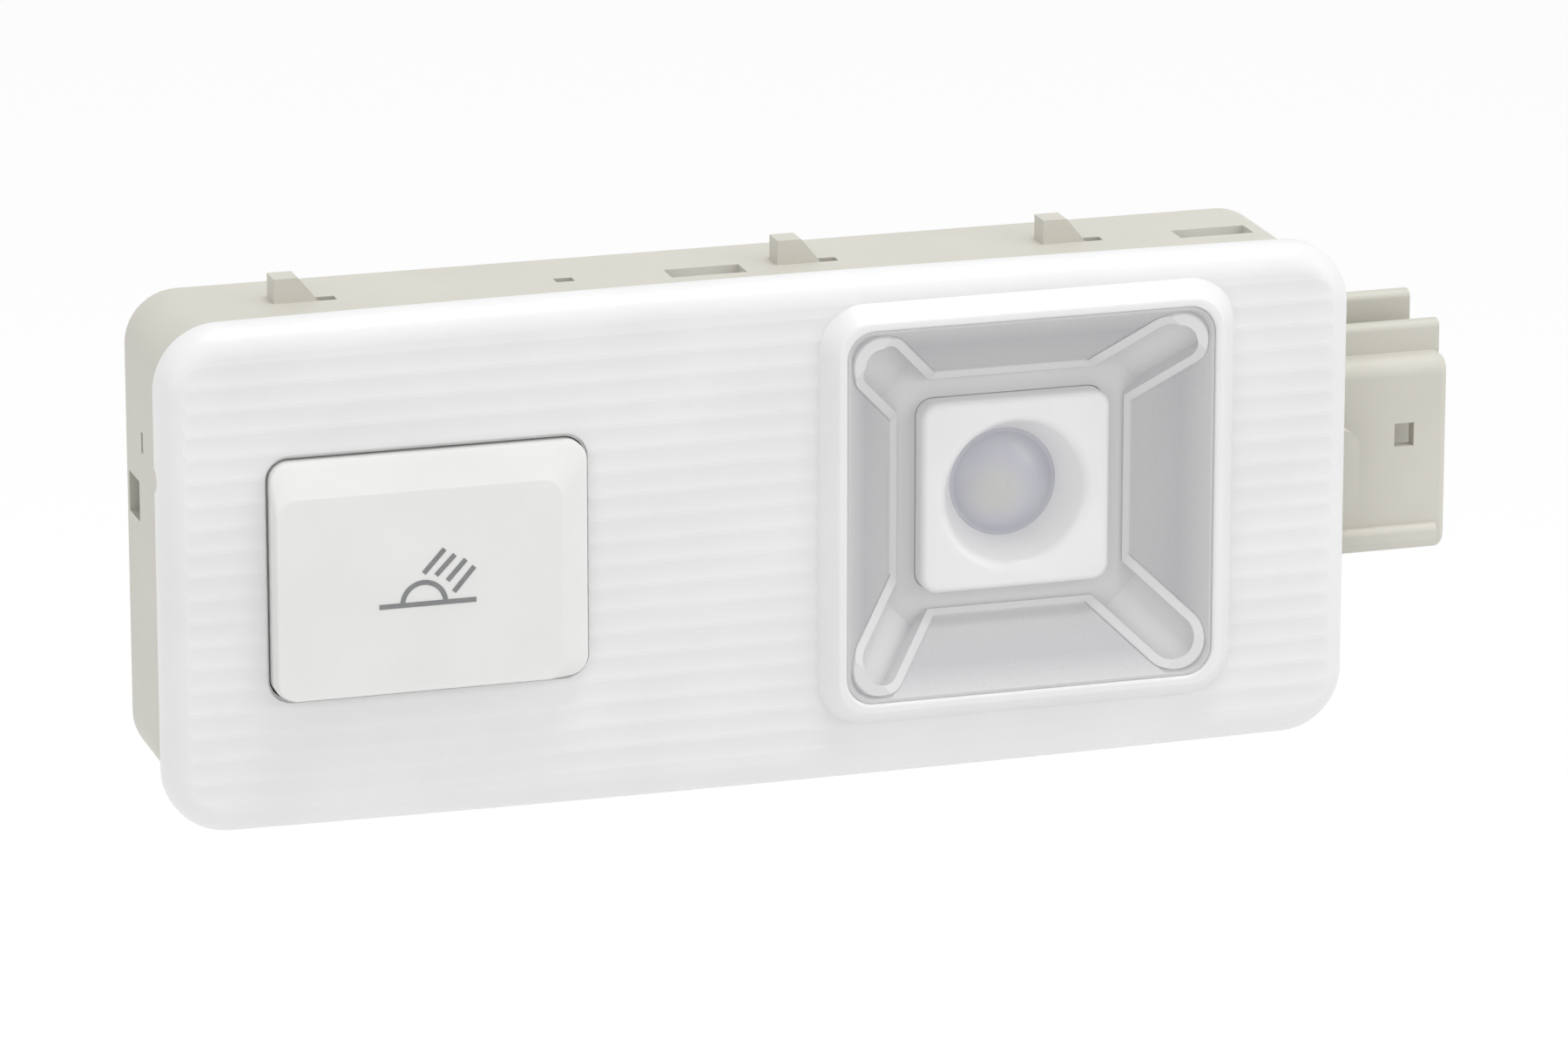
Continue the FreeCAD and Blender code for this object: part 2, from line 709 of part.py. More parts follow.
def lens_cover():
    body = body_named("lens_cover")
    outline = front_sketch(body, "face_outline", "0")
    lens_outline(outline)
    face = pad_front(body, "face", outline, "Sizes.face_depth")
    fillet(body, "face_roll", face, edges_at(face, FACE_Y), "Sizes.face_roll")
    flutes(body)

    foot = front_sketch(body, "collar_foot", f"{FACE_Y} + Sizes.collar_root")
    spread = "Sizes.collar_root * Sizes.collar_run / Sizes.collar_rise"
    rounded_square(foot, "Sizes.spot_x", "Sizes.spot_z", f"Sizes.collar_size + 2 * {spread}",
                   f"Sizes.collar_corner + {spread}")
    crown = front_sketch(body, "collar_crown", COLLAR_Y)
    rounded_square(crown, "Sizes.spot_x", "Sizes.spot_z", "Sizes.collar_size - 2 * Sizes.collar_run",
                   "Sizes.collar_corner - Sizes.collar_run")
    loft(body, "AdditiveLoft", "collar", [foot, crown])

    hollow = front_sketch(body, "hollow_outline", "0")
    half_width = "(Sizes.inner_half_width - Sizes.rim_ledge)"
    half_height = "(Sizes.inner_half_height - Sizes.rim_ledge)"
    rounded(hollow, f"-{half_width}", half_width, f"-{half_height}", half_height, "Sizes.hollow_corner")
    cut_front(body, "hollow", hollow, "Sizes.face_depth - Sizes.face_wall")
    step = front_sketch(body, "rim_step_outline", "0")
    half_width = "(Sizes.half_width + Sizes.step_clear)"
    half_height = "(Sizes.half_height + Sizes.step_clear)"
    rounded(step, f"-{half_width}", half_width, f"-{half_height}", half_height,
            "Sizes.body_corner + Sizes.step_clear")
    cut_front(body, "rim_step", step, "Sizes.rim_step")

    seat = front_sketch(body, "reflector_seat_outline", "0")
    rounded_square(seat, "Sizes.spot_x", "Sizes.spot_z", f"{FLANGE_SIZE} + 2 * Sizes.reflector_clear",
                   "Sizes.mouth_corner + Sizes.flange_overlap")
    cut_front(body, "reflector_seat", seat, f"-{SEAT_Y}")
    mouth = front_sketch(body, "mouth_outline", "0")
    rounded_square(mouth, "Sizes.spot_x", "Sizes.spot_z", "Sizes.mouth_size", "Sizes.mouth_corner")
    opened = cut_front(body, "mouth", mouth, "Sizes.face_depth + 2 * Sizes.collar_rise")
    fillet(body, "collar_round", opened, edges_at(opened, COLLAR_Y), "Sizes.collar_round")

    key_hole = front_sketch(body, "key_hole_outline", "0")
    hole_left = "(Sizes.key_x - Sizes.key_hole_width / 2)"
    hole_right = "(Sizes.key_x + Sizes.key_hole_width / 2)"
    rounded(key_hole, hole_left, hole_right, "Sizes.key_hole_bottom", "Sizes.key_hole_top",
            "Sizes.key_hole_corner")
    cut_front(body, "key_hole", key_hole, "2 * Sizes.face_depth")

    ears = front_sketch(body, "pivot_ears_outline", f"{INNER_Y} - Sizes.face_wall / 2")
    ear_low = "(Sizes.pivot_z - Sizes.ear_height / 2)"
    ear_high = "(Sizes.pivot_z + Sizes.ear_height / 2)"
    rectangle(ears, f"{hole_left} - Sizes.ear_wall", hole_left, ear_low, ear_high)
    rectangle(ears, hole_right, f"{hole_right} + Sizes.ear_wall", ear_low, ear_high)
    ear_back = "(Sizes.pivot_y + Sizes.ear_height / 2)"
    pad_back(body, "pivot_ears", ears, f"{ear_back} - {INNER_Y} + Sizes.face_wall / 2")
    holes = side_sketch(body, "pivot_hole_outline", "Sizes.key_x")
    circle(holes, "Sizes.pivot_y", "Sizes.pivot_z", "Sizes.pivot_radius + Sizes.pivot_clear")
    feature(body, "Pocket", "pivot_holes", holes, "2 * Sizes.key_hole_width", symmetric=True)

    lens_tongue(body, "tongues_left", "Sizes.tongue_left_x")
    lens_tongue(body, "tongues_right", "Sizes.tongue_right_x")
    return body


def button():
    """The key: a hollow cap with one-sided slopes, side trunnions near its top and a post to the switch."""
    body = body_named("button")
    skirt = front_sketch(body, "skirt_outline", "Sizes.key_skirt")
    rounded(skirt, KEY_LEFT, KEY_RIGHT, KEY_BOTTOM, KEY_TOP, "Sizes.key_corner")
    pad_front(body, "skirt", skirt, f"Sizes.key_skirt - {KEY_EDGE_Y}")

    foot = front_sketch(body, "cap_foot", KEY_EDGE_Y)
    rounded(foot, KEY_LEFT, KEY_RIGHT, KEY_BOTTOM, KEY_TOP, "Sizes.key_corner")
    crown = front_sketch(body, "cap_crown", KEY_FACE_Y)
    rounded(crown, f"{KEY_LEFT} + Sizes.key_slope_left", f"{KEY_RIGHT} - Sizes.key_slope_right",
            f"{KEY_BOTTOM} + Sizes.key_slope_bottom", f"{KEY_TOP} - Sizes.key_slope_top", "Sizes.key_corner")
    cap = loft(body, "AdditiveLoft", "cap", [foot, crown])
    fillet(body, "cap_round", cap, edges_at(cap, KEY_FACE_Y), "Sizes.key_round")

    trunnions = side_sketch(body, "trunnion_outline", "Sizes.key_x")
    circle(trunnions, "Sizes.pivot_y", "Sizes.pivot_z", "Sizes.pivot_radius")
    span = "(Sizes.key_hole_width - 2 * Sizes.key_gap + 2 * Sizes.pivot_reach)"
    feature(body, "Pad", "trunnions", trunnions, span, symmetric=True)

    inside = front_sketch(body, "inside_outline", "Sizes.key_skirt")
    rounded(inside, f"{KEY_LEFT} + Sizes.key_wall", f"{KEY_RIGHT} - Sizes.key_wall",
            f"{KEY_BOTTOM} + Sizes.key_wall", f"{KEY_TOP} - Sizes.key_wall", "Sizes.key_corner / 2")
    cut_front(body, "inside", inside, f"Sizes.key_skirt - ({KEY_FACE_Y}) - Sizes.key_cap")

    post = front_sketch(body, "post_outline", f"{KEY_FACE_Y} + Sizes.key_cap / 2")
    circle(post, "Sizes.key_x", "Sizes.post_z", "Sizes.post_radius")
    pad_back(body, "post", post, f"{PLUNGER_TOP} - Sizes.post_gap - {KEY_FACE_Y} - Sizes.key_cap / 2")
    return body


def tongue_outline(sketch, inner, width):
    """A strip along a channel's floor with a square inner end and a round outer end."""
    half = f"(({width}) / 2)"
    outer = "(Sizes.channel_length - Sizes.channel_width / 2)"
    start, end, side = (number(size) for size in (inner, outer, half))
    corners = [FreeCAD.Vector(x, z, 0) for x, z in ((end, side), (start, side), (start, -side), (end, -side))]
    for one, after in zip(corners, corners[1:]):
        sketch.addGeometry(Part.LineSegment(one, after))
    round_end = Part.Circle(FreeCAD.Vector(end, 0, 0), FreeCAD.Vector(0, 0, 1), side)
    sketch.addGeometry(Part.ArcOfCircle(round_end, -math.pi / 2, math.pi / 2))
    sketch.addConstraint(Sketcher.Constraint("Coincident", 0, 2, 1, 1))
    sketch.addConstraint(Sketcher.Constraint("Coincident", 1, 2, 2, 1))
    sketch.addConstraint(Sketcher.Constraint("Tangent", 2, 2, 3, 1))
    sketch.addConstraint(Sketcher.Constraint("Tangent", 3, 2, 0, 1))
    sketch.addConstraint(Sketcher.Constraint("Horizontal", 0))
    place(sketch, 1, 1, inner, half)
    place(sketch, 1, 2, inner, f"-{half}")
    place(sketch, 3, 3, outer, "0")


def reflector():
    """A square funnel that drops into a moat round the pad, with a flat channel down each corner."""
    body = body_named("reflector", "Sizes.spot_x", "Sizes.spot_z")
    flange = front_sketch(body, "flange_outline", SEAT_Y)
    rounded_square(flange, "0", "0", FLANGE_SIZE,
                   "Sizes.mouth_corner + Sizes.flange_overlap - Sizes.reflector_clear")
    pad_back(body, "flange", flange, "Sizes.flange_wall")
    wall = front_sketch(body, "mouth_wall_outline", FLANGE_BACK)
    rounded_square(wall, "0", "0", REFLECTOR_SIZE, "Sizes.mouth_corner - Sizes.reflector_clear")
    pad_front(body, "mouth_wall", wall, f"{FLANGE_BACK} - Sizes.mouth_y")

    outer_front = front_sketch(body, "funnel_outside_front", FLANGE_BACK)
    rounded_square(outer_front, "0", "0", REFLECTOR_SIZE, "Sizes.mouth_corner - Sizes.reflector_clear")
    outer_back = front_sketch(body, "funnel_outside_back", FLOOR_BACK)
    rounded_square(outer_back, "0", "0", "Sizes.throat_size + 2 * Sizes.reflector_wall",
                   "Sizes.throat_corner + Sizes.reflector_wall / 2")
    loft(body, "AdditiveLoft", "funnel_outside", [outer_front, outer_back])

    inner_front = front_sketch(body, "funnel_inside_front", "Sizes.mouth_y")
    rounded_square(inner_front, "0", "0", "2 * Sizes.funnel_half",
                   "Sizes.mouth_corner - Sizes.reflector_clear - Sizes.reflector_lip")
    inner_back = front_sketch(body, "funnel_inside_back", "Sizes.throat_y")
    rounded_square(inner_back, "0", "0", "2 * Sizes.funnel_back_half", "Sizes.throat_corner")
    loft(body, "SubtractiveLoft", "funnel_inside", [inner_front, inner_back])

    ridges = channel_sketch(body, "ridge_outline")
    tongue_outline(ridges, "(-Sizes.ridge_rise * tan(Sizes.channel_tilt) - Sizes.ridge_width / 2)",
                   "Sizes.channel_width + 2 * Sizes.ridge_width")
    ridge = pad_front(body, "ridge", ridges, "Sizes.ridge_rise")
    floor = channel_sketch(body, "channel_outline")
    tongue_outline(floor, "((Sizes.throat_y - Sizes.floor_y) / cos(Sizes.channel_tilt))", "Sizes.channel_width")
    channel = cut_front(body, "channel", floor, "2 * Sizes.ridge_rise")
    way_out = diagonal_sketch(body, "channel_way_out", "Sizes.floor_y")
    rectangle(way_out, "Sizes.throat_size / 2", "Sizes.channel_foot", "-Sizes.channel_width / 2",
              "Sizes.channel_width / 2")
    opened = cut_front(body, "channel_opened", way_out, "Sizes.floor_y - Sizes.mouth_y")
    ring = body.newObject("PartDesign::PolarPattern", "corner_ring")
    ring.Originals = [ridge, channel, opened]
    ring.Axis = (origin_feature(body, "Y_Axis"), [""])
    ring.Angle = 360.0
    ring.Occurrences = 4
    body.Tip = ring
    doc.recompute()

    trim = front_sketch(body, "mouth_trim_outline", "Sizes.mouth_y")
    rounded_square(trim, "0", "0", REFLECTOR_SIZE, "Sizes.mouth_corner - Sizes.reflector_clear")
    cut_front(body, "mouth_trim", trim, "2 * Sizes.ridge_rise")
    moat = front_sketch(body, "moat_outline", "Sizes.floor_y")
    rounded_square(moat, "0", "0", "Sizes.throat_size", "Sizes.throat_corner")
    cut_front(body, "moat", moat, "Sizes.floor_y - Sizes.mouth_y")
    hole = front_sketch(body, "pad_hole_outline", FLOOR_BACK)
    rounded_square(hole, "0", "0", "Sizes.pad_size + 2 * Sizes.pad_clear", "Sizes.pad_corner + Sizes.pad_clear")
    cut_front(body, "pad_hole", hole, "2 * Sizes.floor_wall")
    return body


def spot_bezel():
    """The white pad: a square plug through the reflector's floor, bored as a cone, on a tube to the board."""
    body = body_named("spot_bezel", "Sizes.spot_x", "Sizes.spot_z")
    pad_outline = front_sketch(body, "pad_outline", FLOOR_BACK)
    rounded_square(pad_outline, "0", "0", "Sizes.pad_size", "Sizes.pad_corner")
    pad = pad_front(body, "pad", pad_outline, f"{FLOOR_BACK} - Sizes.pad_front")
    fillet(body, "pad_round", pad, edges_at(pad, "Sizes.pad_front"), "Sizes.pad_round")
    flange = front_sketch(body, "flange_outline", FLOOR_BACK)
    rounded_square(flange, "0", "0", "Sizes.pad_flange", "Sizes.pad_corner")
    pad_back(body, "flange", flange, "Sizes.pad_flange_wall")
    tube = front_sketch(body, "tube_outline", FLOOR_BACK)
    circle(tube, "0", "0", "Sizes.tube_radius")
    pad_back(body, "tube", tube, f"Sizes.board_y - {FLOOR_BACK}")
    bore = side_sketch(body, "bore_profile", "0")
    well = "(Sizes.optic_radius + Sizes.optic_clear)"
    polygon(bore, [
        ("Sizes.pad_front", "0"),
        ("Sizes.board_y", "0"),
        ("Sizes.board_y", well),
        ("Sizes.optic_seat_y", well),
        ("Sizes.optic_seat_y", "Sizes.optic_seat_radius"),
        ("Sizes.pad_front", "Sizes.cone_radius"),
    ])
    bored = turned(body, "Groove", "bore", bore)
    fillet(body, "cone_round", bored, ring_at(bored, "Sizes.pad_front", "Sizes.cone_radius"), "Sizes.cone_round")
    return body


def spot_lens():
    """The optic: a clear disc with a collecting cone behind it and a skirt that stands on the board."""
    body = body_named("spot_lens", "Sizes.spot_x", "Sizes.spot_z")
    profile = side_sketch(body, "optic_profile", "0")
    inner = "(Sizes.optic_radius - Sizes.optic_skirt)"
    disc_back = "(Sizes.optic_seat_y + Sizes.optic_face)"
    tip = "(Sizes.board_y - Sizes.spot_led_base - Sizes.spot_led_height - Sizes.optic_gap)"
    polygon(profile, [
        ("Sizes.optic_seat_y", "0"),
        (tip, "0"),
        (tip, "Sizes.optic_tip_radius"),
        (disc_back, "Sizes.optic_root_radius"),
        (disc_back, inner),
        ("Sizes.board_y", inner),
        ("Sizes.board_y", "Sizes.optic_radius"),
        ("Sizes.optic_seat_y", "Sizes.optic_radius"),
    ])
    turned(body, "Revolution", "optic", profile)
    dome = side_sketch(body, "dome_profile", "0")
    bend = "((Sizes.optic_dome_radius ^ 2 + Sizes.optic_dome_rise ^ 2) / (2 * Sizes.optic_dome_rise))"
    closed_by_arc(dome, [
        ("Sizes.optic_seat_y - Sizes.optic_dome_rise", "0"),
        (disc_back, "0"),
        (disc_back, "Sizes.optic_dome_radius"),
        ("Sizes.optic_seat_y", "Sizes.optic_dome_radius"),
    ], bend)
    turned(body, "Revolution", "dome", dome)
    return body


def housing_fins(body):
    """Snap fins on both long walls, each with a slot at the foot of its slope, and one vent slot."""
    fins = front_sketch(body, "fin_outlines", "Sizes.fin_y")
    slots = top_sketch(body, "slot_outlines", "0")
    root = "(Sizes.half_height - Sizes.body_wall / 2)"
    crest = "(Sizes.half_height + Sizes.fin_height)"
    slot_back = "Sizes.fin_y + Sizes.fin_length / 2"
    for left in ("Sizes.fin_left_x", "Sizes.fin_middle_x", "Sizes.fin_right_x"):
        right = f"{left} + Sizes.fin_base"
        for sign in ("", "-"):
            polygon(fins, [
                (left, f"{sign}{root}"),
                (right, f"{sign}{root}"),
                (right, f"{sign}Sizes.half_height"),
                (f"{left} + Sizes.fin_tip", f"{sign}{crest}"),
                (left, f"{sign}{crest}"),
            ])
        rectangle(slots, right, f"{right} + Sizes.fin_slot", "Sizes.fin_y", slot_back)
    rectangle(slots, "Sizes.vent_x", "Sizes.vent_x + Sizes.fin_slot", "Sizes.fin_y", slot_back)
    pad_back(body, "fins", fins, "Sizes.fin_length")
    feature(body, "Pocket", "slots", slots, "4 * Sizes.half_height", symmetric=True)


def housing_windows(body):
    """Windows for the lens tongues in the long walls, and the window and slot in the left end."""
    windows = top_sketch(body, "tongue_window_outlines", "0")
    for x in ("Sizes.tongue_left_x", "Sizes.tongue_right_x"):
        reach = "(Sizes.tongue_width / 2 + Sizes.window_clear)"
        rectangle(windows, f"{x} - {reach}", f"{x} + {reach}", "Sizes.barb_place - Sizes.snap_clear",
                  "Sizes.tongue_length + Sizes.window_clear")
    feature(body, "Pocket", "tongue_windows", windows, "4 * Sizes.half_height", symmetric=True)
    end = side_sketch(body, "end_window_outlines", "-Sizes.half_width - Sizes.body_wall")
    for y, length, z, height in (
        ("Sizes.side_window_y", "Sizes.side_window_length", "Sizes.side_window_z", "Sizes.side_window_height"),
        ("Sizes.side_slot_y", "Sizes.side_slot_length", "Sizes.side_slot_z", "Sizes.side_slot_height"),
    ):
        rectangle(end, y, f"{y} + {length}", f"{z} - {height} / 2", f"{z} + {height} / 2")
    feature(body, "Pocket", "end_windows", end, "3 * Sizes.body_wall", reverse=True)


def housing_socket(body):
    """The plug socket's shroud: a rounded box on the right wall with rails, a ledge and a catch window."""
    wall_middle = "(Sizes.half_width - Sizes.body_wall / 2)"
    parts = [
        ("socket", "Sizes.socket_mouth"),
        ("socket_foot", "(Sizes.half_width + Sizes.socket_foot_reach)"),
        ("front_rail", "Sizes.socket_mouth"),
        ("rear_rail", "(Sizes.socket_mouth - Sizes.rear_rail_set_back)"),
        ("ledge", "(Sizes.socket_mouth - Sizes.ledge_set_back)"),
    ]
    outlines = {name: side_sketch(body, f"{name}_outline", wall_middle) for name, _ in parts}
    front, back, bottom, top = (f"Sizes.socket_{side}" for side in ("front", "back", "bottom", "top"))
    rounded(outlines["socket"], front, back, bottom, top, "Sizes.socket_corner")
    rounded(outlines["socket_foot"], f"{front} - Sizes.socket_foot", f"{back} + Sizes.socket_foot",
            f"{bottom} - Sizes.socket_foot", "Sizes.rear_rail_top + Sizes.socket_foot", "Sizes.socket_corner")
    rail_root = f"({top} - Sizes.socket_wall / 2)"
    for name in ("front_rail", "rear_rail"):
        rail = f"Sizes.{name}_y"
        rounded(outlines[name], rail, f"{rail} + Sizes.rail_wall", rail_root, f"Sizes.{name}_top",
                "Sizes.rail_round")
    rounded(outlines["ledge"], f"{front} - Sizes.ledge_rise", f"{front} + Sizes.socket_wall",
            f"{bottom} + Sizes.socket_corner / 2", f"{bottom} + Sizes.ledge_height", "Sizes.rail_round")
    for name, reach in parts:
        made = feature(body, "Pad", name, outlines[name], f"{reach} - {wall_middle}")
        if name == "socket":
            fillet(body, "socket_round", made, edges_at(made, reach, "x"), "Sizes.socket_round")

    well = side_sketch(body, "socket_well_outline", "Sizes.socket_floor")
    rounded(well, f"{front} + Sizes.socket_wall", f"{back} - Sizes.socket_wall", f"{bottom} + Sizes.socket_wall",
            f"{top} - Sizes.socket_wall", "Sizes.socket_corner / 2")
    feature(body, "Pocket", "socket_well", well, "2 * (Sizes.socket_mouth - Sizes.socket_floor)", reverse=True)
    catch = front_sketch(body, "catch_outline", f"{front} - Sizes.socket_wall")
    half_width, half_height = "Sizes.catch_width / 2", "Sizes.catch_height / 2"
    rectangle(catch, f"Sizes.catch_x - {half_width}", f"Sizes.catch_x + {half_width}",
              f"Sizes.catch_z - {half_height}", f"Sizes.catch_z + {half_height}")
    cut_back(body, "catch_window", catch, "3 * Sizes.socket_wall")
    pin_holes = side_sketch(body, "pin_hole_outlines", "Sizes.half_width - 2 * Sizes.body_wall")
    half = "(Sizes.pin_width / 2 + Sizes.pin_clear)"
    for index in range(SIZES["pin_count"]):
        z = f"({PIN_ROW} + {index} * Sizes.pin_pitch)"
        rectangle(pin_holes, f"Sizes.pin_y - {half}", f"Sizes.pin_y + {half}", f"{z} - {half}", f"{z} + {half}")
    feature(body, "Pocket", "pin_holes", pin_holes,
            "Sizes.socket_floor - Sizes.half_width + 3 * Sizes.body_wall", reverse=True)


def screw_places():
    return [(f"{side}Sizes.screw_x", f"{level}Sizes.screw_z") for side in ("-", "") for level in ("-", "")]


def rear_housing():
    body = body_named("rear_housing")
    outline = front_sketch(body, "tray_outline", "Sizes.body_depth")
    rounded(outline, "-Sizes.half_width", "Sizes.half_width", "-Sizes.half_height", "Sizes.half_height",
            "Sizes.body_corner")
    tray = pad_front(body, "tray", outline, "Sizes.body_depth + Sizes.rim_step")
    fillet(body, "tray_round", tray, edges_at(tray, "Sizes.body_depth"), "Sizes.body_round")
    hook = front_sketch(body, "hook_outline", "Sizes.hook_y")
    half_hook = "Sizes.hook_height / 2"
    rounded(hook, "Sizes.half_width - Sizes.body_corner", "Sizes.half_width + Sizes.hook_reach", f"-{half_hook}",
            half_hook, "Sizes.hook_corner")
    pad_back(body, "hook", hook, "Sizes.hook_wall")
    housing_fins(body)
    housing_socket(body)

    inside = front_sketch(body, "inside_outline", BODY_FLOOR)
    rounded(inside, "-Sizes.inner_half_width", "Sizes.inner_half_width", "-Sizes.inner_half_height",
            "Sizes.inner_half_height", "Sizes.body_corner - Sizes.body_wall")
    cut_front(body, "inside", inside, f"2 * {BODY_FLOOR}")
    housing_windows(body)

    bosses = front_sketch(body, "boss_outlines", f"{BODY_FLOOR} + Sizes.body_wall / 2")
    holes = front_sketch(body, "boss_hole_outlines", BOARD_BACK)
    for x, z in screw_places():
        circle(bosses, x, z, "Sizes.boss_radius")
        circle(holes, x, z, "Sizes.screw_radius + Sizes.screw_clear")
    pad_front(body, "bosses", bosses, f"{BODY_FLOOR} + Sizes.body_wall / 2 - {BOARD_BACK}")
    cut_back(body, "boss_holes", holes, "Sizes.screw_length - Sizes.board_wall + Sizes.window_clear")
    return body


def circuit_board():
    body = body_named("circuit_board")
    outline = front_sketch(body, "board_outline", BOARD_BACK)
    rounded(outline, "-Sizes.board_half_width", "Sizes.board_half_width", "-Sizes.board_half_height",
            "Sizes.board_half_height", "Sizes.board_corner")
    for x, z in screw_places():
        circle(outline, x, z, "Sizes.screw_radius + Sizes.board_hole_clear")
    half = "(Sizes.pin_width / 2 + Sizes.pin_clear)"
    for index in range(SIZES["pin_count"]):
        z = f"({PIN_ROW} + {index} * Sizes.pin_pitch)"
        x = "(Sizes.pin_root + Sizes.pin_width / 2)"
        rectangle(outline, f"{x} - {half}", f"{x} + {half}", f"{z} - {half}", f"{z} + {half}")
    pad_front(body, "board", outline, "Sizes.board_wall")
    return body


def connector_pins():
    """Square contacts, each bent once from the socket down into the board."""
    pins = []
    for index in range(SIZES["pin_count"]):
        low = f"{PIN_ROW} + {index} * Sizes.pin_pitch - Sizes.pin_width / 2"
        front = "Sizes.pin_y - Sizes.pin_width / 2"
        blade = block(f"pin_blade_{index}", "Sizes.pin_root", front, low,
                      "Sizes.pin_tip - Sizes.pin_root", "Sizes.pin_width", "Sizes.pin_width")
        tail = block(f"pin_tail_{index}", "Sizes.pin_root", front, low, "Sizes.pin_width",
                     f"{BOARD_BACK} + Sizes.pin_tail - ({front})", "Sizes.pin_width")
        pins.append(fused(f"pin_{index}", [blade, tail]))
    return group("connector_pins", pins)


def board_screws():
    screws = []
    head_top = "Sizes.board_y - Sizes.screw_head_height"
    for index, (x, z) in enumerate(screw_places()):
        head = rod(f"screw_head_{index}", x, head_top, z, "Sizes.screw_head_radius", "Sizes.screw_head_height")
        shank = rod(f"screw_shank_{index}", x, head_top, z, "Sizes.screw_radius",
                    "Sizes.screw_head_height + Sizes.screw_length")
        slot = block(f"screw_slot_{index}", f"{x} - Sizes.screw_head_radius", head_top,
                     f"{z} - Sizes.screw_slot / 2", "2 * Sizes.screw_head_radius", "Sizes.screw_slot_depth",
                     "Sizes.screw_slot")
        screws.append(cut(f"screw_{index}", fused(f"screw_blank_{index}", [head, shank]), slot))
    return group("board_screws", screws)


def switch_body():
    case = block_on_board("switch_case", "Sizes.key_x", "Sizes.post_z", "Sizes.switch_width",
                          "Sizes.switch_width", "Sizes.switch_height")
    bore = rod("switch_bore", "Sizes.key_x", SWITCH_TOP, "Sizes.post_z",
               "Sizes.plunger_radius + Sizes.plunger_clear", "Sizes.plunger_depth + Sizes.plunger_room")
    return cut("switch_body", case, bore)


def switch_plunger():
    return rod("switch_plunger", "Sizes.key_x", PLUNGER_TOP, "Sizes.post_z", "Sizes.plunger_radius",
               "Sizes.plunger_rise + Sizes.plunger_depth")


def switch_legs():
    """Four legs that come down the switch's left and right sides and turn out along the board."""
    legs = []
    for side in ("left", "right"):
        wall = "Sizes.key_x - Sizes.switch_width / 2 - Sizes.leg_wall"
        foot = "Sizes.key_x - Sizes.switch_width / 2 - Sizes.leg_foot"
        if side == "right":
            wall = "Sizes.key_x + Sizes.switch_width / 2"
            foot = wall
        for level in ("-", "+"):
            low = f"Sizes.post_z {level} Sizes.leg_spacing / 2 - Sizes.leg_width / 2"
            name = f"{side}_{'low' if level == '-' else 'high'}"
            upright = block(f"leg_upright_{name}", wall, "Sizes.board_y - Sizes.leg_height", low,
                            "Sizes.leg_wall", "Sizes.leg_height", "Sizes.leg_width")
            sole = block(f"leg_sole_{name}", foot, "Sizes.board_y - Sizes.leg_wall", low, "Sizes.leg_foot",
                         "Sizes.leg_wall", "Sizes.leg_width")
            legs.append(fused(f"leg_{name}", [upright, sole]))
    return group("switch_legs", legs)


def spot_led():
    base = block_on_board("spot_led_base", "Sizes.spot_x", "Sizes.spot_z", "Sizes.spot_led_width",
                          "Sizes.spot_led_width", "Sizes.spot_led_base")
    dome = rod("spot_led_dome", "Sizes.spot_x", "Sizes.board_y - Sizes.spot_led_base - Sizes.spot_led_height",
               "Sizes.spot_z", "Sizes.spot_led_dome", "Sizes.spot_led_height + Sizes.spot_led_base / 2")
    return fused("spot_led", [base, dome])


def courtesy_led(place_name):
    return block_on_board(f"courtesy_led_{place_name}", f"Sizes.courtesy_{place_name}_x",
                          f"Sizes.courtesy_{place_name}_z", "Sizes.courtesy_led_width",
                          "Sizes.courtesy_led_length", "Sizes.courtesy_led_height")


def capacitor():
    base = block_on_board("capacitor_base", "Sizes.can_x", "Sizes.can_z", "Sizes.can_base", "Sizes.can_base",
                          "Sizes.can_base_wall")
    can = rod("capacitor_can", "Sizes.can_x", "Sizes.board_y - Sizes.can_height", "Sizes.can_z",
              "Sizes.can_radius", "Sizes.can_height - Sizes.can_base_wall / 2")
    return fused("capacitor", [base, can])


def driver_chip():
    return block_on_board("driver_chip", "Sizes.chip_x", "Sizes.chip_z", "Sizes.chip_width",
                          "Sizes.chip_length", "Sizes.chip_height")


def polarity_diode():
    return block_on_board("polarity_diode", "Sizes.diode_x", "Sizes.diode_z", "Sizes.diode_width",
                          "Sizes.diode_length", "Sizes.diode_height")


def resistors():
    chips = [
        block_on_board(f"resistor_{index}", f"(Sizes.resistor_x + {index} * Sizes.resistor_pitch)",
                       "Sizes.resistor_z", "Sizes.resistor_width", "Sizes.resistor_length",
                       "Sizes.resistor_height")
        for index in range(SIZES["resistor_count"])
    ]
    return group("resistors", chips)


nodes = [
    lens_cover(), rear_housing(), reflector(), spot_bezel(), spot_lens(), button(), circuit_board(),
    connector_pins(), board_screws(), switch_body(), switch_plunger(), switch_legs(), spot_led(),
    courtesy_led("left"), courtesy_led("middle"), courtesy_led("right"), capacitor(), driver_chip(),
    polarity_diode(), resistors(),
]
doc.recompute()

for item in doc.Objects:
    if "Invalid" in item.State or "Error" in item.State:
        raise RuntimeError(f"{item.Label} failed: {item.State}")
for node in nodes:
    if node.Shape.isNull() or not node.Shape.isValid():
        raise RuntimeError(f"{node.Label} has no valid shape")

os.makedirs("parts", exist_ok=True)
for node in nodes:
    node.Shape.exportStep(os.path.join("parts", f"{node.Label}.step"))
    print(node.Label, len(node.Shape.Solids), round(node.Shape.Volume, 1))
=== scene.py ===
"""Car courtesy light: the looks of its pieces, the key's printed sign and opening lip, and the studio."""
import math
import bmesh
import bpy
from mathutils import Matrix, Vector


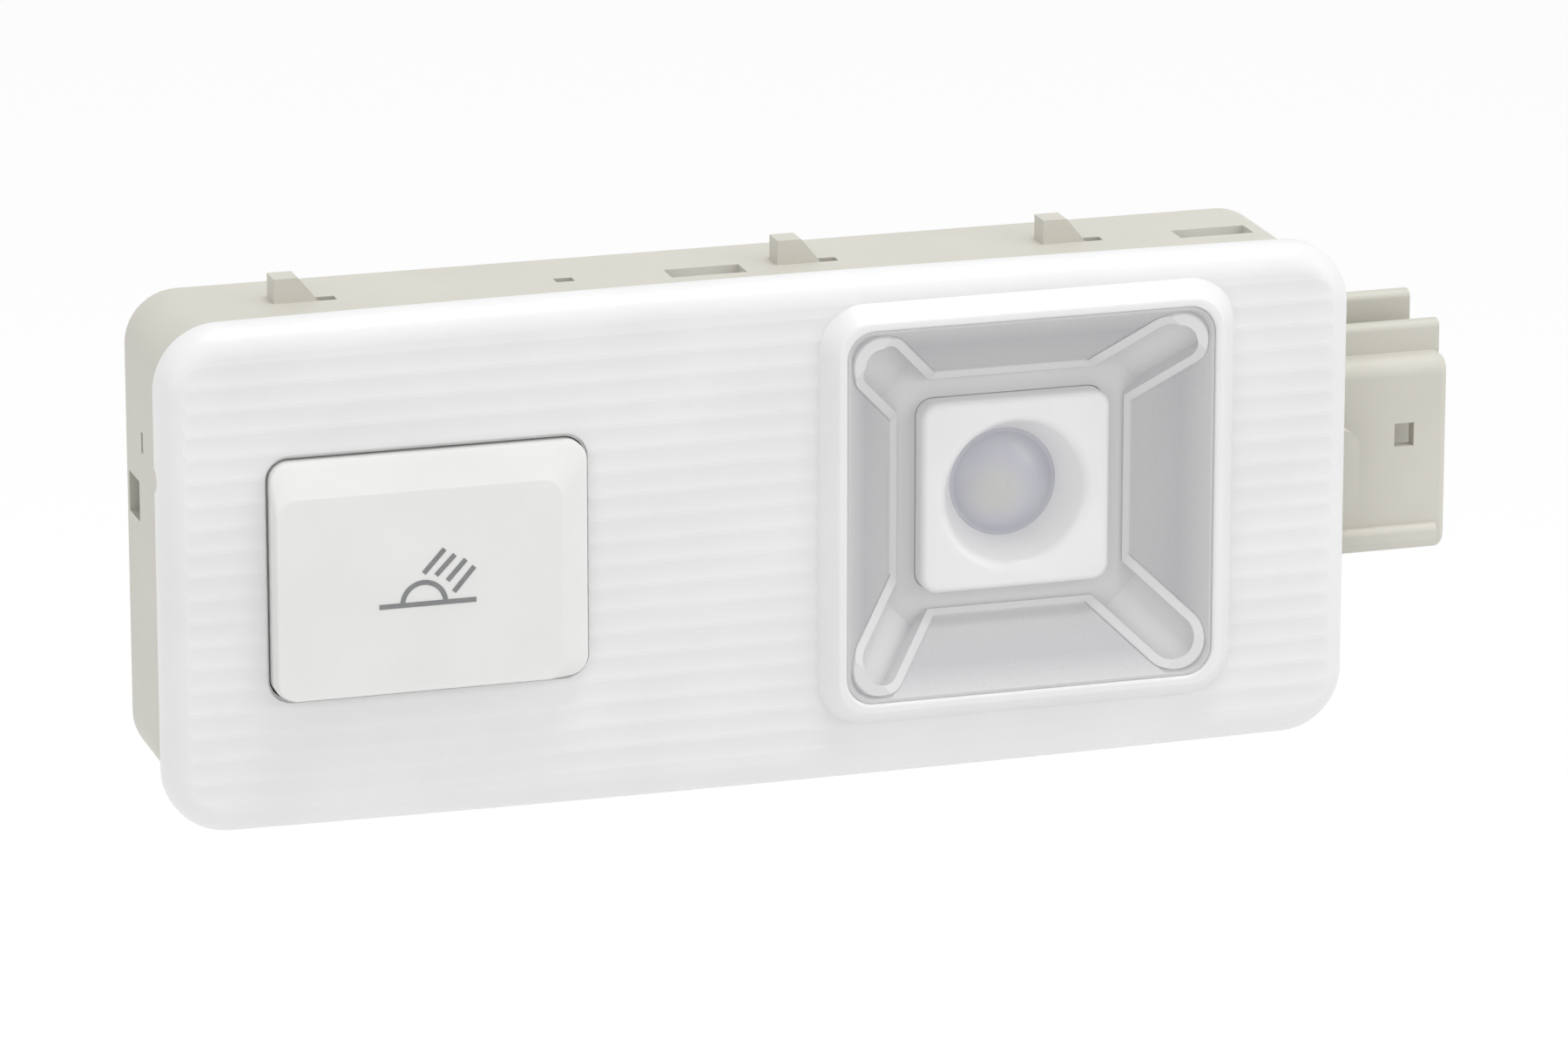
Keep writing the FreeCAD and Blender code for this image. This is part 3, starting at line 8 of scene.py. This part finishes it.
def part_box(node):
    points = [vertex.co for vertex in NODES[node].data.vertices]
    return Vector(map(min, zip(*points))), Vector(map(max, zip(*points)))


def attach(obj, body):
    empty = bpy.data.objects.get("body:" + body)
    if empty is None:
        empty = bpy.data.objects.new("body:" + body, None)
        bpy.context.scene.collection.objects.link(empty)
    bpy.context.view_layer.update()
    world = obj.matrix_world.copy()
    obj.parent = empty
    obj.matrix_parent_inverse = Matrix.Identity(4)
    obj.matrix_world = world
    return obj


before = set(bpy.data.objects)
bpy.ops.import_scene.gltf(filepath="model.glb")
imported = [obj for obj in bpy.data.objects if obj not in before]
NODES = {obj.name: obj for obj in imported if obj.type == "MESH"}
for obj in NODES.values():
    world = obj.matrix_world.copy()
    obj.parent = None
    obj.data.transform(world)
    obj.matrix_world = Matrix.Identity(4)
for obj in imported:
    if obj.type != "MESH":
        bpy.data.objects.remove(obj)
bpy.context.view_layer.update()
MM = 0.001
# A Mix node's sockets share their names, so its colours are found by number.
MIX_FIRST = 6
MIX_SECOND = 7
MIX_COLOUR = 2


def linear(hex_colour):
    """An sRGB hex colour as linear red, green, blue and alpha."""
    shares = [int(hex_colour[i:i + 2], 16) / 255 for i in (0, 2, 4)]
    return (*(c / 12.92 if c <= 0.04045 else ((c + 0.055) / 1.055) ** 2.4 for c in shares), 1.0)


def per_mm(size):
    """The scale of a texture that repeats about once in so many millimetres, on coordinates in metres."""
    return 1.0 / (size * MM)


def add(tree, kind, sockets=None, **settings):
    """Adds a node, sets its properties, and gives each input a value or a link."""
    made = tree.nodes.new(kind)
    for name, setting in settings.items():
        setattr(made, name, setting)
    for name, value in (sockets or {}).items():
        if isinstance(value, bpy.types.NodeSocket):
            tree.links.new(value, made.inputs[name])
        else:
            made.inputs[name].default_value = value
    return made


def new_material(name):
    """A named material with its tree, its Principled shader and the piece's own coordinates."""
    material = bpy.data.materials.new(name)
    material.use_nodes = True
    tree = material.node_tree
    shader = tree.nodes["Principled BSDF"]
    place = add(tree, "ShaderNodeTexCoord").outputs["Object"]
    return material, tree, shader, place


def set_shader(shader, **values):
    """Sets the shader's own sockets. A space in a socket's name is an underscore here."""
    for name, value in values.items():
        shader.inputs[name.replace("_", " ")].default_value = value


def mottled(tree, place, size, low, high):
    """A slow drift between two hex colours, in patches of so many millimetres."""
    drift = add(tree, "ShaderNodeTexNoise", {"Vector": place, "Scale": per_mm(size), "Detail": 3.0})
    ramp = add(tree, "ShaderNodeValToRGB", {"Fac": drift.outputs["Fac"]})
    for stop, position, colour in zip(ramp.color_ramp.elements, (0.3, 0.7), (low, high)):
        stop.position = position
        stop.color = linear(colour)
    return ramp.outputs["Color"]


def grain(tree, place, shader, size, depth, low, high):
    """Fine surface grain: a bump, and a roughness that drifts from low to high with it. Its size is in
    millimetres, and drawn coarser than the real grain, which is too fine to show."""
    relief = 0.02 * MM
    fine = add(tree, "ShaderNodeTexNoise", {"Vector": place, "Scale": per_mm(size), "Detail": 2.0})
    height = fine.outputs["Fac"]
    bump = add(tree, "ShaderNodeBump", {"Height": height, "Strength": depth, "Distance": relief})
    gloss = add(tree, "ShaderNodeMapRange", {"Value": height, "To Min": low, "To Max": high})
    tree.links.new(bump.outputs["Normal"], shader.inputs["Normal"])
    tree.links.new(gloss.outputs["Result"], shader.inputs["Roughness"])


def milky_polycarbonate():
    """Opal polycarbonate from a polished tool: soft white, with light sinking in, and a satin gloss."""
    material, tree, shader, place = new_material("opal_polycarbonate_moulded")
    tree.links.new(mottled(tree, place, 9.0, "E5E5E5", "E9E9E9"), shader.inputs["Base Color"])
    set_shader(shader, IOR=1.585)
    set_shader(shader, Subsurface_Weight=0.5, Subsurface_Radius=(1.0, 1.0, 1.0), Subsurface_Scale=1.2 * MM)
    grain(tree, place, shader, size=0.6, depth=0.05, low=0.36, high=0.44)
    return material


def white_key_plastic():
    """White ABS with a spark-eroded grain: matte, slightly warm, and thin enough to glow at its edges."""
    material, tree, shader, place = new_material("white_abs_spark_grain")
    tree.links.new(mottled(tree, place, 7.0, "E3E3E1", "E7E7E5"), shader.inputs["Base Color"])
    set_shader(shader, IOR=1.54)
    set_shader(shader, Subsurface_Weight=0.25, Subsurface_Radius=(1.0, 1.0, 1.0), Subsurface_Scale=0.8 * MM)
    grain(tree, place, shader, size=0.25, depth=0.25, low=0.42, high=0.52)
    return material


def white_bezel_plastic():
    """White polycarbonate from a smooth tool: brighter and glossier than the key."""
    material, tree, shader, place = new_material("white_polycarbonate_smooth")
    tree.links.new(mottled(tree, place, 6.0, "E8E8E8", "ECECEC"), shader.inputs["Base Color"])
    set_shader(shader, IOR=1.585)
    grain(tree, place, shader, size=0.4, depth=0.06, low=0.28, high=0.36)
    return material


def satin_reflector_coat():
    """Silver-grey satin coat on pale plastic on the four panels, with painted shade that darkens them in a
    band a little over half way up.
    The corner channels and the moat are painted paler, as painted light that lifts the shade in these
    recesses. Metal flake shows in it."""
    material, tree, shader, place = new_material("silver_grey_satin_coat")
    # Half the width of the square round the pad that is painted paler, and of the panels' outer edges.
    moat = 10.8 * MM
    mouth = 16.2 * MM
    # Where the painted shade band is darkest, as a share of the way from the moat to the mouth.
    painted_shade_peak = 0.6
    # About how far from the middle the round end of a channel's ridge starts, how much longer that tilted
    # end is than it looks from the front, and half the width of a channel with its ridge.
    channel_end = 18.9 * MM
    channel_lean = 1.25
    ridge = 2.75 * MM
    mask_blur = 0.15 * MM
    # In millimetres. Real flake is too fine to show, so it is drawn coarser.
    flake_size = 0.18

    low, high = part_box("spot_bezel")
    shift = add(tree, "ShaderNodeVectorMath", {0: place, 1: (low + high) / 2}, operation="SUBTRACT")
    mirrored = add(tree, "ShaderNodeVectorMath", {0: shift.outputs["Vector"]}, operation="ABSOLUTE")
    folded = mirrored.outputs["Vector"]
    parts = add(tree, "ShaderNodeSeparateXYZ", {"Vector": folded})
    larger = add(tree, "ShaderNodeMath", {0: parts.outputs["X"], 1: parts.outputs["Z"]}, operation="MAXIMUM")
    outward = larger.outputs["Value"]
    slant = math.sqrt(0.5)
    beside = add(tree, "ShaderNodeVectorMath", {0: folded, 1: (slant, 0, -slant)}, operation="DOT_PRODUCT")
    along = add(tree, "ShaderNodeVectorMath", {0: folded, 1: (slant, 0, slant)}, operation="DOT_PRODUCT")
    past = add(tree, "ShaderNodeMapRange", {
        "Value": along.outputs["Value"], "From Min": channel_end, "From Max": 2 * channel_end,
        "To Min": 0.0, "To Max": channel_lean * channel_end,
    })
    reach = add(tree, "ShaderNodeCombineXYZ", {"X": beside.outputs["Value"], "Y": past.outputs["Result"]})
    from_channel = add(tree, "ShaderNodeVectorMath", {0: reach.outputs["Vector"]}, operation="LENGTH")
    masks = []
    for distance, edge in ((from_channel.outputs["Value"], ridge), (outward, moat)):
        mask = add(tree, "ShaderNodeMapRange", {
            "Value": distance, "From Min": edge - mask_blur, "From Max": edge + mask_blur,
            "To Min": 1.0, "To Max": 0.0,
        })
        masks.append(mask.outputs["Result"])
    # Painted light: where this mask is one, the channels and the moat take a paler colour that lifts the
    # shade in these recesses.
    painted_light_mask = add(tree, "ShaderNodeMath", {0: masks[0], 1: masks[1]}, operation="MAXIMUM")

    # Painted shade: the panels' colour darkens to a band a little over half way from the moat to the mouth.
    climb = add(tree, "ShaderNodeMapRange", {"Value": outward, "From Min": moat, "From Max": mouth})
    coat = add(tree, "ShaderNodeValToRGB", {"Fac": climb.outputs["Result"]})
    coat.color_ramp.elements[0].color = linear("CCCCCD")
    coat.color_ramp.elements[1].color = linear("CDCDCE")
    coat.color_ramp.elements.new(painted_shade_peak).color = linear("BEBEC0")
    flake = add(tree, "ShaderNodeTexVoronoi", {"Vector": place, "Scale": per_mm(flake_size)})
    glint = add(tree, "ShaderNodeMapRange", {
        "Value": flake.outputs["Distance"], "To Min": 1.03, "To Max": 0.96,
    })
    shimmer = add(tree, "ShaderNodeVectorMath", {
        0: coat.outputs["Color"], "Scale": glint.outputs["Result"],
    }, operation="SCALE")
    # The pale colour here is painted light for the channels and the moat.
    tone = add(tree, "ShaderNodeMix", {
        "Factor": painted_light_mask.outputs["Value"], MIX_FIRST: shimmer.outputs["Vector"], MIX_SECOND: linear("DADADB"),
    }, data_type="RGBA")
    tree.links.new(tone.outputs[MIX_COLOUR], shader.inputs["Base Color"])
    set_shader(shader, Metallic=0.1, IOR=1.5, Specular_IOR_Level=0.35)
    grain(tree, place, shader, size=0.35, depth=0.12, low=0.48, high=0.58)
    return material


def frosted_optic():
    """Moulded acrylic with a frosted front: cool grey, with the diode's yellow, as seen through it, faintly
    painted into its colour.
    """
    material, tree, shader, place = new_material("acrylic_frosted_optic")
    # Painted light: the diode's yellow seen through the front is painted into the colour, a little left of
    # and below the middle.
    painted_tint_offset = Vector((-0.9, 0, -0.5)) * MM
    painted_tint_core = 0.8 * MM
    painted_tint_edge = 3.4 * MM
    painted_tint_share = 0.7

    low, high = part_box("spot_lens")
    diode = (low + high) / 2 + painted_tint_offset
    away = add(tree, "ShaderNodeVectorMath", {0: place, 1: (diode.x, low.y, diode.z)}, operation="DISTANCE")
    # How strongly the painted yellow of the diode is mixed in, fading outward from its spot.
    glow = add(tree, "ShaderNodeMapRange", {
        "Value": away.outputs["Value"], "From Min": painted_tint_core, "From Max": painted_tint_edge,
        "To Min": painted_tint_share, "To Max": 0.0,
    }, interpolation_type="SMOOTHSTEP")
    body = mottled(tree, place, 5.0, "D2D2DC", "DADAE2")
    tone = add(tree, "ShaderNodeMix", {
        "Factor": glow.outputs["Result"], MIX_FIRST: body, MIX_SECOND: linear("DADCD2"),
    }, data_type="RGBA")
    tree.links.new(tone.outputs[MIX_COLOUR], shader.inputs["Base Color"])
    set_shader(shader, IOR=1.49, Transmission_Weight=0.2)
    grain(tree, place, shader, size=0.3, depth=0.08, low=0.16, high=0.24)
    return material


def cream_housing_plastic():
    """Natural PBT, straight from the tool: a warm off-white with a dull, slightly flowed surface."""
    material, tree, shader, place = new_material("natural_pbt_moulded")
    tree.links.new(mottled(tree, place, 12.0, "CAC8BE", "CFCDC3"), shader.inputs["Base Color"])
    set_shader(shader, IOR=1.55)
    grain(tree, place, shader, size=0.45, depth=0.15, low=0.44, high=0.56)
    return material


def board_laminate():
    """Green solder mask over glass laminate: glossy, with the copper's fine relief showing through."""
    material, tree, shader, place = new_material("solder_mask_laminate")
    tree.links.new(mottled(tree, place, 3.0, "1E5A30", "2A6B3B"), shader.inputs["Base Color"])
    grain(tree, place, shader, size=0.8, depth=0.2, low=0.22, high=0.34)
    return material


def plated_metal(name, low, high, size):
    """Plated or drawn metal: bright, with fine marks in its gloss."""
    material, tree, shader, place = new_material(name)
    tree.links.new(mottled(tree, place, size * 4, low, high), shader.inputs["Base Color"])
    set_shader(shader, Metallic=1.0)
    grain(tree, place, shader, size=size, depth=0.1, low=0.24, high=0.4)
    return material


def black_moulding():
    """Black epoxy and nylon mouldings: near black with a matte grain."""
    material, tree, shader, place = new_material("black_moulding_compound")
    tree.links.new(mottled(tree, place, 2.0, "1B1B1C", "262627"), shader.inputs["Base Color"])
    grain(tree, place, shader, size=0.2, depth=0.25, low=0.5, high=0.62)
    return material


def led_phosphor():
    """The diode's package: a yellow phosphor fill with a slight gloss."""
    material, tree, shader, place = new_material("phosphor_silicone")
    tree.links.new(mottled(tree, place, 1.5, "E9DC8C", "F1E7A6"), shader.inputs["Base Color"])
    grain(tree, place, shader, size=0.2, depth=0.1, low=0.3, high=0.42)
    return material


def sign_ink():
    """Grey pad-print ink: thin, dull, a little uneven in cover."""
    material, tree, shader, place = new_material("grey_pad_print_ink")
    tree.links.new(mottled(tree, place, 0.8, "7A7C7D", "868888"), shader.inputs["Base Color"])
    grain(tree, place, shader, size=0.2, depth=0.1, low=0.5, high=0.6)
    return material


def dress(names, material):
    """Gives each named node one material."""
    for name in names:
        slots = NODES[name].data.materials
        slots.clear()
        slots.append(material)


def make_object(name, shape, material):
    """A finished bmesh as an object at the origin, with one material."""
    mesh = bpy.data.meshes.new(name)
    shape.to_mesh(mesh)
    shape.free()
    mesh.materials.append(material)
    made = bpy.data.objects.new(name, mesh)
    bpy.context.scene.collection.objects.link(made)
    return made


def reading_sign():
    """The sign printed thinly on the key's face: a lamp's dome on a base line, and four slanted rays."""
    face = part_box("button")[0].y
    middle = Vector((-30.3, 0, -2.42)) * MM
    stroke = 0.43 * MM
    cover = 0.012 * MM
    # Both ends of each straight stroke, right of and above the sign's middle in millimetres.
    base_line = ((-3.98, 0), (4.33, 0))
    rays = (
        ((-0.15, 2.62), (1.65, 4.58)),
        ((0.90, 2.36), (2.52, 4.02)),
        ((1.87, 1.82), (3.45, 3.53)),
        ((2.40, 0.82), (4.18, 2.86)),
    )
    dome_radius = 1.84 * MM
    dome_middle = middle + Vector((-0.15, 0, 0)) * MM
    # The dome's ink stands a little higher, so that its front shares no plane with the base line's.
    dome_cover = 1.25 * cover

    sign = bmesh.new()
    for start, end in (base_line, *rays):
        run = Vector((end[0] - start[0], 0, end[1] - start[1])) * MM
        centre = middle + Vector((start[0] + end[0], 0, start[1] + end[1])) * (MM / 2)
        turn = Matrix.Rotation(-math.atan2(run.z, run.x), 4, "Y")
        size = Matrix.Diagonal((run.length, 2 * cover, stroke, 1))
        bmesh.ops.create_cube(sign, size=1.0, matrix=Matrix.Translation(centre) @ turn @ size)

    section = [
        sign.verts.new(dome_middle + Vector((dome_radius + side * stroke / 2, deep, 0)))
        for side, deep in ((-1, -dome_cover), (1, -dome_cover), (1, cover), (-1, cover))
    ]
    end_face = sign.faces.new(section)
    bmesh.ops.spin(
        sign, geom=[end_face, *end_face.edges, *section], cent=dome_middle, axis=(0, -1, 0),
        angle=math.pi, steps=32,
    )
    bmesh.ops.recalc_face_normals(sign, faces=sign.faces)
    bmesh.ops.translate(sign, verts=sign.verts, vec=(0, face, 0))
    piece = make_object("reading_sign", sign, sign_ink())
    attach(piece, "key")


def key_opening_lip():
    """The lip inside the key's opening that stops light leaking past the key, so the gap looks shallow."""
    front = -2.65 * MM
    back = -1.5 * MM
    # Left, right, bottom, top and corner radius of each outline in millimetres.
    outer = (-43.45, -15.75, -10.65, 10.75, 2.15)
    inner = (-43.20, -16.00, -10.35, 10.40, 1.85)

    lip = bmesh.new()
    upright = Matrix.Rotation(math.pi / 2, 4, "X")
    for left, right, bottom, top, corner in (outer, inner):
        middle = Matrix.Translation(Vector(((left + right) / 2 * MM, front, (bottom + top) / 2 * MM)))
        spread = Matrix.Diagonal(((right - left) * MM, 1, (top - bottom) * MM, 1))
        stance = middle @ spread @ upright
        made = bmesh.ops.create_grid(lip, x_segments=1, y_segments=1, size=0.5, matrix=stance)
        bmesh.ops.bevel(
            lip, geom=made["verts"], offset=corner * MM, affect="VERTICES", segments=8,
            profile=0.5, material=-1,
        )
    bmesh.ops.delete(lip, geom=list(lip.faces), context="FACES_ONLY")
    ring = bmesh.ops.bridge_loops(lip, edges=list(lip.edges))["faces"]
    deep = bmesh.ops.extrude_face_region(lip, geom=ring)["geom"]
    moved = [part for part in deep if isinstance(part, bmesh.types.BMVert)]
    bmesh.ops.translate(lip, verts=moved, vec=(0, back - front, 0))
    bmesh.ops.recalc_face_normals(lip, faces=lip.faces)
    piece = make_object("key_opening_lip", lip, NODES["lens_cover"].data.materials[0])
    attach(piece, "lamp")


def studio():
    """A pale paper floor well below the lamp, soft light from above, weaker light from both sides and a pale
    room. The paper glows more behind the lamp, where the photograph's view shows it, than under it."""
    # In metres: half the floor's width, its depth below the lamp, and where behind the lamp the glow grows.
    floor_half = 6.0
    floor_drop = 0.5
    glow_start = 0.2
    glow_full = 1.1
    near_glow = 0.06
    far_glow = 0.25
    room_light = 0.75
    # Name, place and width in metres, and power in watts.
    lights = (
        ("key_light", (0.14, -0.17, 1.20), 0.55, 5.4),
        ("side_light", (0.36, -0.26, 0.16), 0.35, 0.40),
        ("fill_light", (-0.9, -0.8, 0.35), 0.9, 1.8),
    )

    sheet = bmesh.new()
    bmesh.ops.create_grid(sheet, x_segments=1, y_segments=1, size=floor_half)
    bmesh.ops.translate(sheet, verts=sheet.verts, vec=(0, 0, -floor_drop))
    paper, tree, shader, place = new_material("studio_paper")
    parts = add(tree, "ShaderNodeSeparateXYZ", {"Vector": place})
    glow = add(tree, "ShaderNodeMapRange", {
        "Value": parts.outputs["Y"], "From Min": glow_start, "From Max": glow_full,
        "To Min": near_glow, "To Max": far_glow,
    })
    tree.links.new(glow.outputs["Result"], shader.inputs["Emission Strength"])
    set_shader(shader, Base_Color=linear("F7F7F7"), Roughness=0.9, Emission_Color=linear("FFFFFF"))
    floor = make_object("studio_floor", sheet, paper)

    room = bpy.data.worlds.new("pale_room")
    room.use_nodes = True
    backdrop = room.node_tree.nodes["Background"]
    backdrop.inputs["Color"].default_value = linear("FFFFFF")
    backdrop.inputs["Strength"].default_value = room_light
    bpy.context.scene.world = room

    target = Vector((0, 0, 0))
    for name, stand, width, power in lights:
        lamp = bpy.data.lights.new(name, "AREA")
        lamp.shape = "DISK"
        lamp.size = width
        lamp.energy = power
        holder = bpy.data.objects.new(name, lamp)
        holder.location = stand
        holder.rotation_euler = (target - Vector(stand)).to_track_quat("-Z", "Y").to_euler()
        bpy.context.scene.collection.objects.link(holder)


def camera():
    """The photograph's view: from the left and above, through a long lens."""
    azimuth = math.radians(-17.06)
    elevation = math.radians(16.33)
    distance = 728.0 * MM
    target = Vector((2.18, 0, 0.44)) * MM
    back = Vector((
        math.sin(azimuth) * math.cos(elevation),
        -math.cos(azimuth) * math.cos(elevation),
        math.sin(elevation),
    ))
    lens = bpy.data.cameras.new("photograph_view")
    lens.sensor_fit = "HORIZONTAL"
    lens.sensor_width = 36.0
    lens.lens = 198.34
    lens.clip_start = 0.01
    holder = bpy.data.objects.new("photograph_view", lens)
    holder.location = target + back * distance
    holder.rotation_euler = (-back).to_track_quat("-Z", "Y").to_euler()
    bpy.context.scene.collection.objects.link(holder)
    bpy.context.scene.camera = holder


dress(["lens_cover"], milky_polycarbonate())
dress(["rear_housing"], cream_housing_plastic())
dress(["reflector"], satin_reflector_coat())
dress(["spot_bezel"], white_bezel_plastic())
dress(["spot_lens"], frosted_optic())
dress(["button"], white_key_plastic())
dress(["circuit_board"], board_laminate())
dress(["connector_pins", "switch_legs"], plated_metal("tin_plated_brass", "B9B6AC", "CAC7BE", 0.3))
dress(["board_screws"], plated_metal("zinc_plated_steel", "A4A6A8", "B9BBBD", 0.4))
dress(["capacitor"], plated_metal("drawn_aluminium", "C4C5C7", "D2D3D5", 0.5))
dress(["switch_body", "switch_plunger", "driver_chip", "polarity_diode", "resistors"], black_moulding())
dress(["spot_led", "courtesy_led_left", "courtesy_led_middle", "courtesy_led_right"], led_phosphor())
reading_sign()
key_opening_lip()
studio()
camera()
bpy.context.scene.view_settings.view_transform = "Standard"
